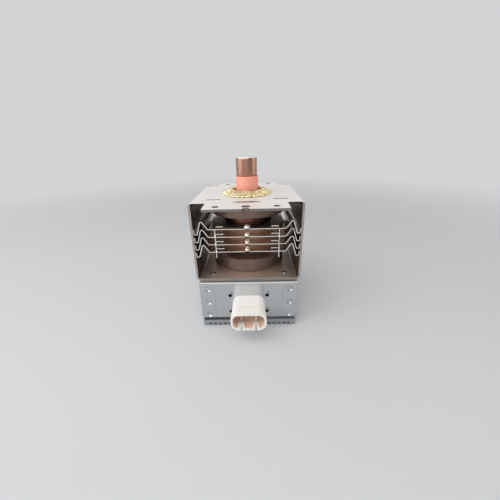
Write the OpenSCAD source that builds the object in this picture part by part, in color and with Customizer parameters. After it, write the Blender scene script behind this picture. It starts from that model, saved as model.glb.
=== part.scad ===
// Microwave-oven magnetron: sealed tube between two ring magnets in a steel yoke,
// cooled by folded fins, standing on the filter box of its heater supply.
// Millimetres. Origin on the tube axis at the underside of the lid, +Z along the antenna,
// -Y towards the connector.

/* [Magnet yoke] */
// Outer width of the yoke across its two side walls
yoke_w = 78; // [74:0.5:84]
// Depth of the yoke walls, front to back
yoke_d = 79; // [74:0.5:86]
// Sheet thickness of the U-shaped yoke
yoke_t = 1.5; // [1:0.1:2]
// Outer radius of the two bends at the foot of the yoke
yoke_bend_r = 3; // [2.5:0.1:4.5]
// Width of the bright dimples pressed into the side walls
dimple_d = 4; // [3:0.1:5]
// How far each wall dimple stands out inside
dimple_h = 0.6; // [0.3:0.05:0.9]
// Distance of the wall dimples from the front and back edges
dimple_edge = 8; // [6:0.1:10]
// Distance of the wall dimples from the base and from the top plate
dimple_end = 9; // [7:0.1:10]

/* [Top plate] */
// Sheet thickness of the top plate
plate_t = 1.6; // [1.2:0.1:2.2]
// Depth of the wide part of the plate that lies between the horns of the yoke
plate_d = 70; // [64:0.5:73]
// How far each tongue reaches beyond the yoke wall
tongue_reach = 12; // [10:0.2:16]
// Width of a tongue at its tip
tongue_w = 55.6; // [52:0.2:60]
// Width of a tongue at its root
tongue_root_w = 58; // [54:0.2:62]
// Diameter of the two outer bolt holes in each tongue
bolt_d = 4.7; // [4:0.1:5.2]
// Distance of the outer bolt holes from the middle
bolt_x = 19.8; // [17:0.1:22]
// Distance of the bolt holes from the tip of the tongue
bolt_edge = 6.4; // [5:0.1:7]
// Diameter of the middle hole in each tongue
middle_hole_d = 5.8; // [5:0.1:6.6]
// Width of the half-round notch in the middle of the front tongue
notch_w = 5; // [3:0.1:6]
// Length of the wide part of the middle slot
slot_l = 14.4; // [10:0.2:16]
// Length of the middle slot with its narrow ends
slot_full_l = 19.6; // [17:0.2:22]
// Width of the middle slot
slot_w = 2.4; // [1.2:0.1:3]
// Length of each thin side slit
slit_l = 9.8; // [7:0.2:11]
// Width of each thin side slit
slit_w = 1.1; // [0.5:0.1:1.6]
// Distance from the middle to the near end of each side slit
slit_x = 19.6; // [18:0.2:22]
// Distance of the middle slot from the tip of the tongue
slot_edge = 19.2; // [15:0.1:21]
// Distance from the middle slot back to the side slits
slit_back = 8.7; // [7:0.1:10]

/* [Magnets] */
// Outer diameter of both ring magnets
magnet_od = 60; // [56:0.5:61]
// Bore of both ring magnets
magnet_bore_d = 20.4; // [20:0.1:24]
// Thickness of the upper ring magnet
upper_magnet_t = 11.8; // [10:0.1:14]
// Thickness of the lower ring magnet
lower_magnet_t = 10.6; // [9:0.1:13]
// Chamfer on the edges of the magnets
magnet_edge = 0.7; // [0.3:0.1:1.2]

/* [Anode] */
// Outer diameter of the copper anode cylinder
anode_od = 39; // [37:0.2:42]
// Wall of the anode cylinder
anode_wall = 2; // [1.6:0.1:2.6]
// Height of the anode cylinder
anode_h = 30.7; // [28:0.1:33]
// Number of vanes round the anode
vane_count = 10; // [8:2:12]
// Thickness of a vane
vane_t = 1.8; // [1.4:0.1:2]
// Height of a vane
vane_h = 9.5; // [8.5:0.1:10.5]
// Radius of the circle that the vane tips leave open
vane_tip_r = 4.6; // [4.4:0.1:5]
// Radial width of a strap ring
strap_w = 1; // [0.7:0.05:1.1]
// Height of a strap ring
strap_h = 1.5; // [1:0.1:1.8]
// Space under each strap ring in the vanes that it doesn't touch
strap_gap = 0.7; // [0.5:0.05:0.8]
// Sideways space between the strap rings and round them
strap_space = 0.8; // [0.6:0.05:0.9]
// Width of the ledge in the anode wall that carries a pole piece
pole_ledge = 0.8; // [0.6:0.05:1]
// Sheet thickness of the pole pieces
pole_t = 1.6; // [1.2:0.1:2]
// Height of the gap between the vanes and a pole piece
pole_gap = 2.5; // [2.2:0.1:3]
// Radius of the flat inner face of a pole piece
pole_face_r = 13; // [12.8:0.1:13.6]
// Radius of the centre hole of a pole piece
pole_hole_r = 4.6; // [4.4:0.1:5]

/* [Cathode] */
// Mean diameter of the filament
filament_d = 3.8; // [3.4:0.1:4.4]
// Wire diameter of the filament
filament_wire_d = 0.5; // [0.4:0.05:0.6]
// Number of turns of the filament
filament_turns = 8; // [6:1:10]
// Distance between the two end hats
hat_gap = 9.8; // [9:0.1:10.6]
// Diameter of the upper end hat
upper_hat_d = 7.2; // [6:0.1:7.8]
// Diameter of the lower end hat
lower_hat_d = 8.4; // [8:0.1:8.6]
// Thickness of the end hats
hat_t = 1.5; // [1.2:0.1:1.8]
// Diameter of the two heater leads
lead_d = 1.3; // [1:0.05:1.4]
// Distance between the two heater leads
lead_pitch = 3; // [2.8:0.05:3.2]

/* [Seals and antenna] */
// Outer diameter of the seal tubes
seal_od = 18.6; // [18:0.1:19.6]
// Sheet thickness of the seal tubes and their flanges
seal_t = 0.8; // [0.6:0.1:1]
// Width of the anode's end left clear round a seal flange
seal_edge = 1.5; // [1:0.1:2]
// Clearance of the seal tubes in the holes of the yoke and the case
seal_clear = 1.1; // [0.8:0.1:1.5]
// Width of the lip on which a ceramic stands
seal_lip = 1.6; // [1.2:0.1:2]
// Height of the upper seal above the plate
seal_rise = 1; // [0.5:0.1:1.8]
// Depth of the lower seal below the top of the filter case
seal_drop = 5.4; // [4:0.1:7]
// Diameter of the output ceramic
ceramic_d = 17.6; // [17:0.1:18.4]
// Height of the output ceramic
ceramic_h = 12.5; // [10:0.1:15]
// Wall of the output ceramic
ceramic_wall = 2.2; // [1.8:0.1:2.6]
// Diameter of the antenna cap
cap_d = 16.2; // [15.6:0.1:17]
// Height of the antenna cap
cap_h = 13.8; // [12:0.1:16]
// Sheet thickness of the antenna cap
cap_t = 0.5; // [0.4:0.05:0.8]
// Radius of the upper edge of the antenna cap
cap_edge_r = 1.2; // [0.9:0.1:1.8]
// Thickness of the flange of the exhaust tube
exhaust_flange_t = 0.8; // [0.5:0.1:1.2]
// Length of the nipped end of the exhaust tube
exhaust_pinch = 3; // [2:0.1:4]
// Room between the exhaust tube and the top of the cap
exhaust_room = 2; // [1:0.1:3]
// Diameter of the exhaust tube under the cap
exhaust_d = 6.4; // [5:0.1:8]
// Diameter of the antenna lead
antenna_d = 1.8; // [1.5:0.1:2]
// Distance from the axis at which the antenna lead leaves its vane
antenna_r = 10.5; // [10.2:0.1:10.8]
// Outer diameter of the wire gasket
gasket_od = 39.6; // [36:0.2:44]
// Bore of the wire gasket
gasket_bore_d = 23.6; // [23:0.2:27]
// Height of the inner rim of the wire gasket above the plate
gasket_h = 3.8; // [2:0.1:5]
// Height of the outer edge of the wire gasket
gasket_edge_h = 0.9; // [0.6:0.1:1.6]
// Width of the flat top of the wire gasket's inner rim
gasket_land = 1.6; // [1.2:0.1:3]
// Diameter of the hole in the plate round the output seal
plate_hole_d = 22; // [21:0.1:22.6]
// Diameter of the input ceramic
stem_d = 18; // [17.6:0.1:18.6]
// Height of the input ceramic
stem_h = 9; // [7:0.1:10]

/* [Cooling fins] */
// Number of cooling fins
fin_count = 4; // [3:1:5]
// Distance from one fin to the next
fin_pitch = 5.73; // [5.2:0.01:6.2]
// Sheet thickness of a fin
fin_t = 0.6; // [0.4:0.05:0.8]
// How far the fins stand back from the front and back edges of the yoke
fin_setback = 0.8; // [0.4:0.1:2]
// Distance of the flat of the top fin below the upper magnet
fin_under = 4.1; // [3:0.05:5]
// Least clearance between the top fin and the upper magnet
fin_clear = 0.3; // [0.2:0.05:0.6]
// Distance of the upper fold from the yoke wall
fold_inset = 5.6; // [5:0.1:6.2]
// Sideways length of the rising flank
fold_run = 4.6; // [4:0.1:5.4]
// Height of the upper fold line above the flat of the fin
fold_rise = 6.8; // [5:0.1:7.4]
// Depth of the hook below the flat of the fin
hook_drop = 3.8; // [2:0.1:4.2]
// Mean radius of the hook at the wall
hook_r = 1.2; // [0.9:0.05:1.5]
// Height of the turned-up lip of the hook
hook_lip = 3.6; // [2.6:0.1:4.2]
// Mean radius of the other folds
fold_r = 1; // [0.6:0.1:1.3]
// Gap between the drawn collar of a fin and the fin below
collar_gap = 1.7; // [1:0.1:3]
// Radius at the root of a drawn collar
collar_root_r = 0.7; // [0.4:0.05:1]
// Distance of the spacer legs from the anode
leg_gap = 2.9; // [2:0.1:3.8]
// Width of a spacer leg, front to back
leg_w = 4.8; // [3:0.1:6]
// Strip of sheet left in front of a leg window
leg_edge = 1.3; // [0.9:0.1:2]
// Width of the small notch in the middle of a fin's edge
fin_notch_w = 3; // [2:0.1:4]
// Outer diameter of the raised eyelet behind the notch
fin_eyelet_d = 5.2; // [3.6:0.1:5.4]
// Hole of the raised eyelet
fin_eyelet_hole_d = 2.9; // [1.8:0.1:3]
// Height of the raised eyelet
fin_eyelet_h = 1.1; // [0.6:0.1:1.6]
// Distance of the eyelet from the fin's edge
fin_eyelet_back = 5; // [4.2:0.1:7]

/* [Filter case] */
// Outer width of the filter case
case_w = 74.6; // [72:0.2:82]
// Outer depth of the filter case
case_d = 87; // [83:0.5:94]
// Height of the case over the surface that the part stands on
case_h = 39.4; // [37:0.2:46]
// Height of the middle clinch dents over the middle of the case
dent_lift = 2; // [0:0.1:3]
// Sheet thickness of the case
case_t = 0.8; // [0.6:0.1:1]
// Outer radius of the bent edges of the case
case_edge_r = 1.6; // [1.3:0.1:2.4]
// Width of the round clinch dents in the front and back walls
dent_d = 4.8; // [3.8:0.1:5.4]
// Width of the flat floor of a clinch dent
dent_floor_d = 3; // [2:0.1:3.4]
// Depth of a clinch dent
dent_depth = 0.6; // [0.3:0.05:0.7]
// Distance of the clinch dents from the sides of the case
dent_edge = 6.3; // [5:0.1:8]
// Distance from one clinch dent to the next
dent_pitch = 11.65; // [9:0.05:12]
// Diameter of the studs that stake the case to the yoke
stake_d = 3; // [2.4:0.1:3.6]
// Distance of the studs from the side walls of the yoke
stake_side = 9.8; // [8.6:0.1:11]
// Distance of the studs from the front and back edges of the yoke
stake_edge = 8.6; // [7:0.1:9.4]
// Diameter of the headed end of a stud
stake_head_d = 4.4; // [4:0.1:5]
// Height of the headed end of a stud
stake_head_h = 0.9; // [0.6:0.1:1.2]

/* [Lid] */
// Sheet thickness of the lid
lid_t = 0.8; // [0.6:0.1:1]
// Width of the front and back flaps
lid_flap_w = 72.6; // [66:0.2:73]
// Width of the side flaps
lid_side_w = 76; // [70:0.5:82]
// Height of the flaps over the underside of the lid
lid_flap_h = 6.3; // [5.4:0.1:7.5]
// Clearance between the flaps and the case
lid_gap = 0.15; // [0.1:0.05:0.3]
// Height of the hem along the top of a flap
hem_h = 1.4; // [1:0.1:1.8]
// Distance from one spring finger to the next
finger_pitch = 3.9; // [3.4:0.05:4.6]
// Width of the slots between the spring fingers
finger_slot_w = 1.9; // [1.4:0.1:2.4]
// Height of the slots between the spring fingers
finger_slot_h = 2.2; // [1.6:0.1:2.8]

/* [Connector] */
// Height of the middle of the connector
con_z = 21; // [18.5:0.1:22]
// Width of the connector at its mouth
con_w = 25; // [24.8:0.1:27]
// Height of the connector at its mouth
con_h = 14.2; // [14:0.1:16]
// How much narrower the root is than the mouth, on each side
con_flare = 0.3; // [0.1:0.05:0.5]
// Radius of the rounded corners of the mouth
con_corner_r = 5.6; // [4.5:0.1:6.2]
// Wall of the socket
con_wall = 1.2; // [1:0.05:1.4]
// How far the connector stands out from the case
con_reach = 22.1; // [19:0.1:25]
// Distance of the flare from the case
con_flare_z = 13.3; // [11:0.1:15]
// Length of the flare
con_flare_l = 2; // [1:0.1:3]
// Thickness of the partition in front of the case wall
con_floor = 3.5; // [2.5:0.1:5]
// Length of the tail inside the case
con_tail = 14.4; // [12:0.1:16]
// Width of the retaining rim behind the wall
con_rim = 1.8; // [1.2:0.1:2.4]
// Thickness of the retaining rim
con_rim_t = 1.5; // [1.2:0.1:2]
// Thickness of a terminal blade
blade_t = 0.8; // [0.6:0.1:1]
// Height of a terminal blade
blade_h = 6.35; // [5:0.05:6.6]
// Distance between the two terminal blades
blade_pitch = 10.3; // [9.6:0.1:11]
// How far the blade tips stay back from the mouth
blade_recess = 4.6; // [3:0.1:6]
// How far the blades stand out behind the tail
blade_tail = 5; // [4:0.1:7]
// Width of the raised pads on the floor of the socket
pad_w = 4.6; // [4:0.1:5]
// Height of the raised pads
pad_h = 1.6; // [1:0.1:2]
// Length of the raised pads
pad_l = 6; // [4:0.1:8]
// Width of the slot through each pad
pad_slot_w = 1.2; // [0.8:0.1:1.6]
// Length of the slot through each pad
pad_slot_l = 3.4; // [2:0.1:3.8]
// Thickness of the plate that carries the connector behind the wall
carrier_t = 0.8; // [0.6:0.1:1.2]
// Margin of the carrier plate round its eyelets
carrier_edge = 3.6; // [3:0.1:5]
// Hole of the four eyelets round the connector
eyelet_d = 2.9; // [2.2:0.1:3.2]
// Wall of an eyelet
eyelet_wall = 0.45; // [0.3:0.05:0.6]
// Width of the rolled rim of an eyelet
eyelet_rim = 0.6; // [0.4:0.05:0.8]
// Height of the rolled rim of an eyelet
eyelet_rim_h = 0.45; // [0.3:0.05:0.6]
// Sideways distance of an eyelet from the root of the connector
eyelet_side = 1.8; // [1.4:0.1:2.4]
// Height of an eyelet over the edge of the connector's root
eyelet_over = 0.55; // [0.3:0.05:1.2]

/* [Chokes] */
// Mean diameter of the choke coils
choke_d = 7.2; // [6.4:0.1:8]
// Wire diameter of the choke coils
choke_wire_d = 1.3; // [1:0.05:1.4]
// Full turns of a choke coil before its last half turn
choke_turns = 12; // [8:1:13]
// Distance of the choke coils from the terminal blades
choke_side = 9.85; // [8.5:0.05:12]
// How far the ferrite cores stand out of their coils
core_over = 2; // [1:0.1:3]
// Thickness of the terminal tags under the input ceramic
tag_t = 0.8; // [0.6:0.1:1]
// Width of the terminal tags
tag_w = 5; // [4:0.1:6]
// Distance from the axis to the outer face of the tags
tag_x = 4.9; // [4.7:0.1:5.6]

/* [Fits] */
// Clearance of pressed and brazed round fits
fit = 0.05; // [0.02:0.01:0.1]
// Clearance of sheet parts that are put together by hand
slip = 0.1; // [0.05:0.05:0.2]

/* [Hidden] */
$fn = 48;
yoke_inner = yoke_w / 2 - yoke_t;
base_z = case_h + yoke_t;
lower_magnet_top = base_z + lower_magnet_t;
anode_z = lower_magnet_top + seal_t;
anode_top = anode_z + anode_h;
anode_mid = anode_z + anode_h / 2;
upper_magnet_z = anode_top + seal_t;
plate_z = upper_magnet_z + upper_magnet_t;
plate_top = plate_z + plate_t;
plate_w = yoke_w - 2 * slip;
tongue_y = yoke_d / 2 + tongue_reach;
bolt_y = tongue_y - bolt_edge;
slot_y = tongue_y - slot_edge;
seal_r = seal_od / 2;
seal_flange_r = anode_od / 2 - seal_edge;
output_seal_top = plate_top + seal_rise;
ceramic_top = output_seal_top + ceramic_h;
cap_top = ceramic_top + cap_h;
tube_hole_r = seal_r + seal_clear;
anode_r = anode_od / 2;
anode_ir = anode_r - anode_wall;
pole_seat_r = anode_ir + pole_ledge;
pole_face_z = vane_h / 2 + pole_gap;
strap_inner_r = vane_tip_r + 1.25 * strap_space;
strap_outer_r = strap_inner_r + strap_w + strap_space;
strap_split_r = strap_inner_r + strap_w + strap_space / 2;
notch_r0 = strap_inner_r - strap_space / 2;
notch_r1 = strap_outer_r + strap_w + strap_space / 2;
stem_top = case_h - seal_drop;
stem_z = stem_top - stem_h;
tag_z = stem_z - tag_t;
hat_z = anode_mid - hat_gap / 2;
exhaust_flange_r = cap_d / 2 - cap_t - slip;
exhaust_top = cap_top - cap_t - exhaust_room;
fin_d = yoke_d - 2 * fin_setback;
fin_foot_x = yoke_inner - fold_inset - fold_run;
fin_flank = atan2(fold_rise, fold_run);
fin_flank_top = (magnet_od / 2 - fin_foot_x) * tan(fin_flank) + fin_t / 2 / cos(fin_flank);
fin_top_z = upper_magnet_z - max(fin_under, fin_flank_top + fin_clear - magnet_edge);
collar_r = anode_r + fit + fin_t;
collar_drop = fin_pitch - collar_gap;
leg_h = fin_pitch - fin_t;
leg_x = anode_r + leg_gap;
case_front = case_d / 2;
lid_reach_y = case_front + lid_gap + lid_t;
lid_reach_x = case_w / 2 + lid_gap + lid_t;
dimple_y = yoke_d / 2 - dimple_edge;
dimple_z = [base_z + dimple_end, plate_z - dimple_end];
stake_x = yoke_inner - stake_side;
stake_y = yoke_d / 2 - stake_edge;
dent_x = case_w / 2 - dent_edge;
dent_z = (case_h + lid_t) / 2 + dent_lift;
con_root_w = con_w - 2 * con_flare;
con_root_h = con_h - 2 * con_flare;
eyelet_x = con_root_w / 2 + eyelet_side;
eyelet_z = con_root_h / 2 + eyelet_over;
carrier_back = case_t + carrier_t;
tail_end = carrier_back + con_tail;
element_front = carrier_back + con_rim_t;
blade_x = blade_pitch / 2;
coil_x = blade_x + choke_side;
coil_z = con_z - choke_d / 2;
coil_y0 = -case_front + tail_end + blade_tail / 2;
coil_y1 = 0;
tag_bottom = coil_z - choke_d / 2 - choke_wire_d;

// Names of all the nodes
vane_names = [for (i = [1:vane_count]) str("anode_vane_", i)];
fin_names = [for (i = [1:fin_count]) str("cooling_fin_", i)];

// Point and path functions
function unit(v) = v / norm(v);
function left_of(v) = [-v[1], v[0]];
function polar(r, a) = [r * cos(a), r * sin(a)];

// Arc of n steps round a centre
function arc(centre, r, a0, a1, n) = [for (i = [0:n]) centre + polar(r, a0 + (a1 - a0) * i / n)];

// Rounded corner of radius r at b, between the lines to a and to c
function fillet(a, b, c, r, n) =
    let (u = unit(a - b), v = unit(c - b), half = acos(u * v) / 2)
    let (centre = b + unit(u + v) * r / sin(half))
    let (p = b + u * r / tan(half) - centre, q = b + v * r / tan(half) - centre)
    let (a0 = atan2(p[1], p[0]), turn = atan2(p[0] * q[1] - p[1] * q[0], p * q))
    arc(centre, r, a0, a0 + turn, n);

// Outline of a bent strip of thickness t along a centre line
function edge_normal(line, i) = left_of(unit(line[i + 1] - line[i]));
function mitre(line, i) =
    let (a = edge_normal(line, max(i - 1, 0)), b = edge_normal(line, min(i, len(line) - 2)))
    (a + b) / (1 + a * b);
function strip(line, t) = concat(
    [for (i = [0:len(line) - 1]) line[i] + mitre(line, i) * t / 2],
    [for (i = [len(line) - 1:-1:0]) line[i] - mitre(line, i) * t / 2]);

// Round wire of radius r along a path, its sections turned about the direction aside
module wire(path, r, aside, sides = 8) {
    count = len(path);
    tangents = [for (i = [0:count - 1]) unit(path[min(i + 1, count - 1)] - path[max(i - 1, 0)])];
    points = [for (i = [0:count - 1])
        let (t = tangents[i], n = unit(aside - (aside * t) * t), m = cross(t, n))
        for (j = [0:sides - 1]) path[i] + polar(r, 360 * j / sides) * [n, m]];
    walls = [for (i = [0:count - 2], j = [0:sides - 1], half = [0, 1])
        let (a = i * sides + j, b = i * sides + (j + 1) % sides)
        half == 0 ? [a, a + sides, b + sides] : [a, b + sides, b]];
    first_end = [for (j = [0:sides - 1]) j];
    last_end = [for (j = [sides - 1:-1:0]) (count - 1) * sides + j];
    polyhedron(points, concat(walls, [first_end, last_end]), convexity = 10);
}

// Flat shapes
module rounded_rect(w, h, r) {
    square([w, h - 2 * r], center = true);
    square([w - 2 * r, h], center = true);
    for (x = [-1, 1], y = [-1, 1]) translate([x * (w / 2 - r), y * (h / 2 - r)]) circle(r);
}

// Upright section with its two lower corners rounded
module rounded_foot(w, h, r) {
    translate([-w / 2, r]) square([w, h - r]);
    translate([-w / 2 + r, 0]) square([w - 2 * r, h]);
    for (x = [-1, 1]) translate([x * (w / 2 - r), r]) circle(r);
}

// Extrusions along X and along Y, centred, of a section drawn upright
module along_x(l) {
    rotate([90, 0, 90]) linear_extrude(l, center = true) children();
}
module along_y(l) {
    rotate([90, 0, 0]) linear_extrude(l, center = true) children();
}

// Round parts
module tube(r, bore, h) {
    difference() {
        cylinder(r = r, h = h);
        translate([0, 0, -1]) cylinder(r = bore, h = h + 2);
    }
}

// Spherical bulge of width d and height h, centred on the plane z = 0
function cap_radius(d, h) = (d * d / 4 + h * h) / (2 * h);
module bulge(d, h) {
    intersection() {
        translate([0, 0, h - cap_radius(d, h)]) sphere(cap_radius(d, h));
        cylinder(d = d, h = h + 1);
    }
}

// Antenna cap: drawn steel cup with a rounded upper edge, open below
module antenna_cap() {
    inner_r = cap_edge_r - cap_t;
    color("silver") translate([0, 0, ceramic_top]) rotate_extrude() difference() {
        union() {
            square([cap_d / 2, cap_h - cap_edge_r]);
            square([cap_d / 2 - cap_edge_r, cap_h]);
            translate([cap_d / 2 - cap_edge_r, cap_h - cap_edge_r]) intersection() {
                circle(cap_edge_r);
                square(cap_edge_r);
            }
        }
        square([cap_d / 2 - cap_t, cap_h - cap_edge_r]);
        square([cap_d / 2 - cap_edge_r, cap_h - cap_t]);
        translate([cap_d / 2 - cap_edge_r, cap_h - cap_edge_r]) intersection() {
            circle(inner_r);
            square(cap_edge_r);
        }
    }
}

// Exhaust tube: copper tube on a flange, nipped flat at its upper end
module exhaust_tube() {
    bore = antenna_d / 2 + fit;
    tube_h = exhaust_top - ceramic_top;
    color("peru") translate([0, 0, ceramic_top]) difference() {
        union() {
            cylinder(r = exhaust_flange_r, h = exhaust_flange_t);
            intersection() {
                cylinder(d = exhaust_d, h = tube_h);
                along_x(exhaust_d) polygon([
                    [-exhaust_d / 2, 0], [exhaust_d / 2, 0],
                    [exhaust_d / 2, tube_h - exhaust_pinch], [cap_t, tube_h],
                    [-cap_t, tube_h], [-exhaust_d / 2, tube_h - exhaust_pinch]]);
            }
        }
        translate([0, 0, -1]) cylinder(r = bore, h = tube_h - exhaust_pinch + 1);
    }
}

// Output ceramic: salmon ring that holds the antenna off the seal
module output_ceramic() {
    color("lightsalmon") translate([0, 0, output_seal_top])
        tube(ceramic_d / 2, ceramic_d / 2 - ceramic_wall, ceramic_h);
}

// Antenna lead: copper rod from the first vane through the pole piece to the exhaust tube
module antenna_lead() {
    foot_z = anode_mid + vane_h / 2;
    bend_z = anode_mid + pole_face_z + pole_t + 1;
    neck_z = anode_top;
    axis_z = neck_z + 8;
    foot = [antenna_r, 0];
    knee = [antenna_r, bend_z - foot_z];
    neck = [seal_r / 2, neck_z - foot_z];
    centre = [0, axis_z - foot_z];
    tip = [0, exhaust_top - exhaust_pinch - foot_z];
    line = concat([foot], fillet(foot, knee, neck, 1.5, 4), fillet(knee, neck, centre, 1.5, 4),
        fillet(neck, centre, tip, 3, 5), [tip]);
    color("peru") translate([0, 0, foot_z])
        wire([for (p = line) [p[0], 0, p[1]]], antenna_d / 2, [0, 1, 0], 12);
}

// Seal of either end: flange on the anode, tube through the magnet, lip for the ceramic
module seal_cup(h) {
    rotate_extrude() {
        translate([seal_r - seal_t, 0]) square([seal_flange_r - seal_r + seal_t, seal_t]);
        translate([seal_r - seal_t, 0]) square([seal_t, h]);
        translate([seal_r - seal_t - seal_lip, h - seal_t]) square([seal_t + seal_lip, seal_t]);
    }
}
module output_seal() {
    color("lightsteelblue") translate([0, 0, anode_top]) seal_cup(output_seal_top - anode_top);
}
module input_seal() {
    color("lightsteelblue") translate([0, 0, anode_z]) mirror([0, 0, 1])
        seal_cup(anode_z - stem_top);
}

// Gasket of knitted brass wire: a soft ring on the plate that rises to a rim round the ceramic
module rf_gasket() {
    foot = [[gasket_bore_d / 2, 0], [gasket_od / 2, 0]];
    edge = [gasket_od / 2, gasket_edge_h];
    rim = [gasket_bore_d / 2 + gasket_land, gasket_h];
    lip = [gasket_bore_d / 2, gasket_h];
    color("khaki") translate([0, 0, plate_top]) rotate_extrude() polygon(concat(foot,
        fillet(foot[1], edge, rim, gasket_edge_h / 2, 3), fillet(edge, rim, lip, gasket_land, 3),
        fillet(rim, lip, foot[0], gasket_land / 2, 3)));
}

// Top plate: wide part on the yoke walls and a tapering tongue at each end
module yoke_plate() {
    tongue = [[-tongue_w / 2, -tongue_y], [tongue_w / 2, -tongue_y],
        [tongue_root_w / 2, 0], [-tongue_root_w / 2, 0]];
    color("gainsboro") translate([0, 0, plate_z]) difference() {
        linear_extrude(plate_t) difference() {
            union() {
                square([plate_w, plate_d], center = true);
                for (turn = [0, 180]) rotate(turn) polygon(tongue);
            }
            translate([0, -slot_y]) middle_slot();
            for (x = [-1, 1]) translate([x * (slit_x + slit_l / 2), -slot_y + slit_back])
                square([slit_l, slit_w], center = true);
        }
        translate([0, 0, -1]) {
            cylinder(d = plate_hole_d, h = plate_t + 2);
            for (x = [-bolt_x, bolt_x], y = [-bolt_y, bolt_y])
                translate([x, y, 0]) cylinder(d = bolt_d, h = plate_t + 2);
            for (y = [-bolt_y, bolt_y])
                translate([0, y, 0]) cylinder(d = middle_hole_d, h = plate_t + 2);
            translate([0, -tongue_y, 0]) cylinder(d = notch_w, h = plate_t + 2);
        }
    }
}

// Outline of the middle slot with its narrow pointed ends
module middle_slot() {
    narrow = slot_w * 0.3;
    upper = [[-slot_full_l / 2, 0], [-slot_l / 2, narrow], [-slot_l / 2 + slot_w, slot_w / 2]];
    half = concat(upper, [for (i = [2:-1:0]) [-upper[i][0], upper[i][1]]]);
    polygon(concat(half, [for (i = [4:-1:1]) [half[i][0], -half[i][1]]]));
}

// Yoke: steel sheet folded to a U, with horns beside the plate and pressed dimples
module yoke_frame() {
    wall_top = plate_top - case_h;
    seat_top = plate_z - case_h;
    color("lightgray") difference() {
        union() {
            translate([0, 0, case_h]) difference() {
                along_y(yoke_d) difference() {
                    rounded_foot(yoke_w, wall_top, yoke_bend_r);
                    translate([0, yoke_t]) rounded_foot(2 * yoke_inner, wall_top, yoke_bend_r - yoke_t);
                }
                translate([-yoke_w, -plate_d / 2 - slip, seat_top])
                    cube([2 * yoke_w, plate_d + 2 * slip, wall_top]);
            }
            wall_dimples(yoke_inner, -90);
        }
        wall_dimples(yoke_w / 2 + 0.001, -90);
        translate([0, 0, case_h - 1]) {
            cylinder(r = tube_hole_r, h = yoke_t + 2);
            for (x = [-stake_x, stake_x], y = [-stake_y, stake_y])
                translate([x, y, 0]) cylinder(d = stake_d + 2 * fit, h = yoke_t + 2);
        }
    }
}

// Four pressed dimples on each side wall, at the distance x from the middle
module wall_dimples(x, tilt) {
    for (side = [0, 1], y = [-dimple_y, dimple_y], z = dimple_z) mirror([side, 0, 0])
        translate([x, y, z]) rotate([0, tilt, 0]) bulge(dimple_d, dimple_h);
}

// Ring magnets: pressed ferrite with chamfered edges
module ring_magnet(t) {
    c = magnet_edge;
    r0 = magnet_bore_d / 2;
    r1 = magnet_od / 2;
    color("dimgray") rotate_extrude($fn = 96) polygon([
        [r0 + c, 0], [r1 - c, 0], [r1, c], [r1, t - c],
        [r1 - c, t], [r0 + c, t], [r0, t - c], [r0, c]]);
}
module upper_magnet() {
    translate([0, 0, upper_magnet_z]) ring_magnet(upper_magnet_t);
}
module lower_magnet() {
    translate([0, 0, base_z]) ring_magnet(lower_magnet_t);
}

// Anode: copper cylinder with a seat for a pole piece at each end
module anode_cylinder() {
    color("sienna") translate([0, 0, anode_z]) difference() {
        cylinder(r = anode_r, h = anode_h);
        translate([0, 0, -1]) cylinder(r = anode_ir, h = anode_h + 2);
        translate([0, 0, -1]) cylinder(r = pole_seat_r, h = pole_t + 1);
        translate([0, 0, anode_h - pole_t]) cylinder(r = pole_seat_r, h = pole_t + 1);
    }
}

// Pole piece: pressed iron dish whose flat middle faces the vanes, drawn for the upper end
module pole_dish() {
    face = pole_face_z;
    rim = anode_h / 2;
    rim_r = pole_face_r + 2;
    rotate_extrude() polygon([
        [pole_hole_r, face], [pole_face_r, face], [rim_r, rim - pole_t],
        [pole_seat_r - fit, rim - pole_t], [pole_seat_r - fit, rim], [rim_r - pole_t / 2, rim],
        [pole_face_r - pole_t / 2, face + pole_t], [pole_hole_r, face + pole_t]]);
}
module upper_pole_piece() {
    color("gray") translate([0, 0, anode_mid]) difference() {
        pole_dish();
        translate([antenna_r, 0, 0]) cylinder(d = antenna_d + 1, h = pole_face_z + pole_t + 1);
    }
}
module lower_pole_piece() {
    color("gray") translate([0, 0, anode_mid]) mirror([0, 0, 1]) pole_dish();
}

// Strap rings: each touches every second vane and clears the others
module strap(r, end) {
    color("darkgoldenrod") translate([0, 0, anode_mid]) mirror([0, 0, end])
        translate([0, 0, vane_h / 2 - strap_h]) tube(r + strap_w, r, strap_h);
}
module upper_inner_strap() {
    strap(strap_inner_r, 0);
}
module upper_outer_strap() {
    strap(strap_outer_r, 0);
}
module lower_inner_strap() {
    strap(strap_inner_r, 1);
}
module lower_outer_strap() {
    strap(strap_outer_r, 1);
}

// Vane: copper plate from the anode wall to the open circle, notched for the straps
module anode_vane(i) {
    odd = i % 2;
    color("chocolate") translate([0, 0, anode_mid]) rotate(360 * (i - 1) / vane_count)
        intersection() {
            translate([0, 0, -vane_h]) cylinder(r = anode_ir, h = 2 * vane_h);
            along_y(vane_t) difference() {
                translate([vane_tip_r, -vane_h / 2]) square([anode_r - vane_tip_r, vane_h]);
                for (end = [0, 1]) mirror([0, end]) {
                    clear = (odd + end) % 2;
                    from_r = clear ? notch_r0 : strap_split_r;
                    to_r = clear ? strap_split_r : notch_r1;
                    translate([notch_r0, vane_h / 2 - strap_h])
                        square([notch_r1 - notch_r0, vane_h]);
                    translate([from_r, vane_h / 2 - strap_h - strap_gap])
                        square([to_r - from_r, vane_h]);
                }
            }
        }
}

// Filament: tungsten helix between the end hats
module filament() {
    steps = 12;
    r = filament_d / 2;
    rise = hat_gap - filament_wire_d;
    path = [for (i = [0:filament_turns * steps])
        let (a = 360 * i / steps, z = rise * i / (filament_turns * steps))
        [r * cos(a), r * sin(a), z]];
    color("dimgray") translate([0, 0, hat_z + filament_wire_d / 2])
        wire(path, filament_wire_d / 2, [0, 0, 1], 6);
}

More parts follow.
